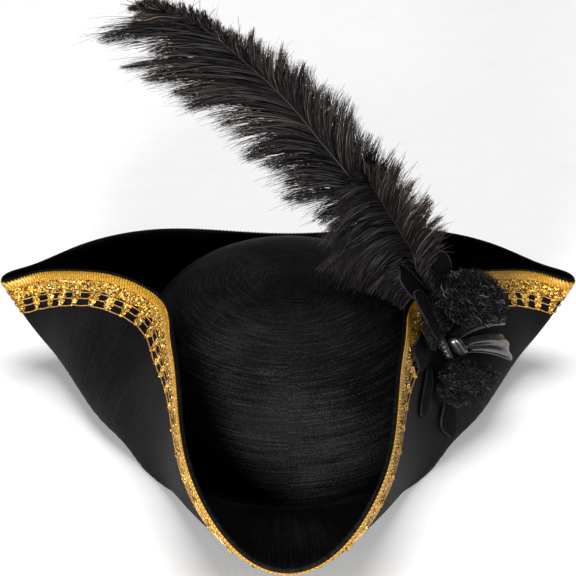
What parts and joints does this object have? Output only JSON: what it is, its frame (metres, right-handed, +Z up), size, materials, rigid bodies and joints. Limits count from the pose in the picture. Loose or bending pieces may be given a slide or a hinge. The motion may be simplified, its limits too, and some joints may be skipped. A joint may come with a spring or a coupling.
{
  "type": "tricorn hat",
  "caption": "Black felt tricorn hat with a gold lace trim round its turned-up brim, and a rosette with ostrich plumes on the right flap.",
  "frame": {"origin": "middle of the whole object's foot, at the plane of the flat ring round the head opening", "axes": "+Z up through the crown, the front point towards -Y, the rosette's flap towards +X"},
  "size_m": [0.3386, 0.3004, 0.2429],
  "materials": {
    "black_felt": "matte, fine brushed nap",
    "gold_lace": "satin braid and metallic thread",
    "black_feather": "soft barbs with a faint sheen",
    "stiff_pad": "matte with a paler rim",
    "black_net": "sheer crumpled net",
    "glitter_net": "net with fine silver glitter",
    "black_satin": "glossy satin"
  },
  "bodies": {
    "root": {"felt_body": "black_felt", "gold_lace": "gold_lace", "long_plume": "black_feather", "short_plume": "black_feather", "tall_pad": "stiff_pad", "left_pad": "stiff_pad", "front_pad": "stiff_pad", "side_pad": "stiff_pad", "low_pad": "stiff_pad", "foot_pad": "stiff_pad", "upper_puff": "black_net", "lower_puff": "black_net", "net_roll": "glitter_net", "satin_bow": "black_satin"}
  },
  "joints": []
}
